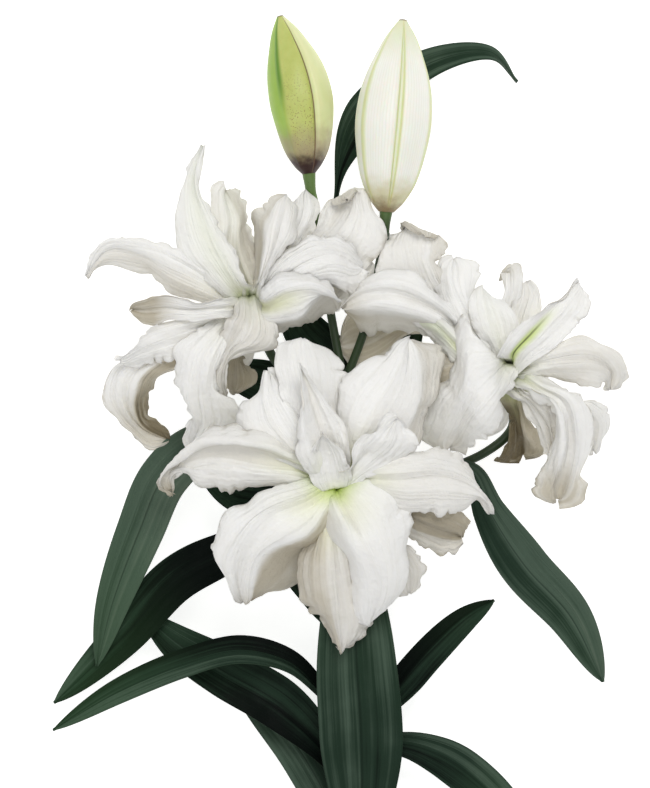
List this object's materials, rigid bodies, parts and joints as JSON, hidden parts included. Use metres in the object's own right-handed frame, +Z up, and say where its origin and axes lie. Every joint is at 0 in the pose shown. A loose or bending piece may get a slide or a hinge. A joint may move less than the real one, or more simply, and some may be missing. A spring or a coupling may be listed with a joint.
{
  "type": "cut flowering stem of white double oriental lily",
  "caption": "Cut stem of white double oriental lily lying on its back: open ruffled double blooms facing up, closed buds beyond them and dark green leaves along the stem.",
  "frame": {"origin": "under the middle of the whole, on the surface that it lies on", "axes": "+Z up off the surface, the way the blooms face; +Y along the stem from its cut end to the buds; +X to the right as seen from above with the buds ahead"},
  "size_m": [0.339, 0.5676, 0.1334],
  "materials": {
    "petal": "satin, slightly translucent, faint lengthwise veins",
    "leaf": "satin, ribbed lengthwise",
    "stem": "satin",
    "green_bud": "satin, speckled brown toward its base",
    "white_bud": "satin, yellow-green ribs"
  },
  "bodies": {
    "root": {"stem": "stem", "bloom_centre": "petal", "bloom_left": "petal", "bloom_right": "petal", "bud_green": "green_bud", "bud_white": "white_bud", "leaf_top": "leaf", "leaf_left_upper": "leaf", "leaf_left_middle": "leaf", "leaf_left_low": "leaf", "leaf_left_base": "leaf", "leaf_bottom_left": "leaf", "leaf_front": "leaf", "leaf_right_upper": "leaf", "leaf_right_low": "leaf", "leaf_right_base": "leaf", "leaf_behind_centre": "leaf", "leaf_under_centre": "leaf", "leaf_gap_upper": "leaf", "leaf_gap_left": "leaf", "leaf_gap_right": "leaf"}
  },
  "joints": []
}
